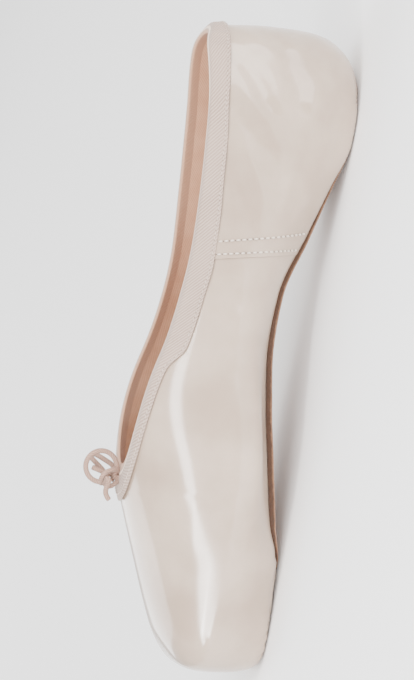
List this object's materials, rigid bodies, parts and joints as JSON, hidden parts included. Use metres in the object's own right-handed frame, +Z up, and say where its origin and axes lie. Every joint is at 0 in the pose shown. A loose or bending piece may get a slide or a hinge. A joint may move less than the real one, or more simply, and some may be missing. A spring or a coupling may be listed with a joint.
{
  "type": "pointe shoe",
  "caption": "Straight-lasted satin ballet shoe with a stiff boxed toe, arched leather outsole, bound collar and a small drawstring bow at the throat.",
  "frame": {"origin": "on the floor under the middle of the shoe's length and width, without the bow", "axes": "+X from heel to toe along the sole, +Y to the wearer's left, +Z up from the floor"},
  "size_m": [0.2369, 0.0716, 0.0751],
  "materials": {
    "satin": "pale pink satin, soft gloss",
    "leather": "brown suede-faced leather, matt",
    "lining": "peach cotton drill, matt",
    "tape": "pale pink-grey ribbed tape, matt",
    "cord": "dusty pink braided cotton cord, matt"
  },
  "bodies": {
    "root": {"upper": "satin", "outsole": "leather", "insole": "lining", "binding": "tape", "drawstring_knot": "cord", "drawstring_round_loop": "cord", "drawstring_narrow_loop": "cord", "drawstring_long_end": "cord", "drawstring_short_end": "cord"}
  },
  "joints": []
}
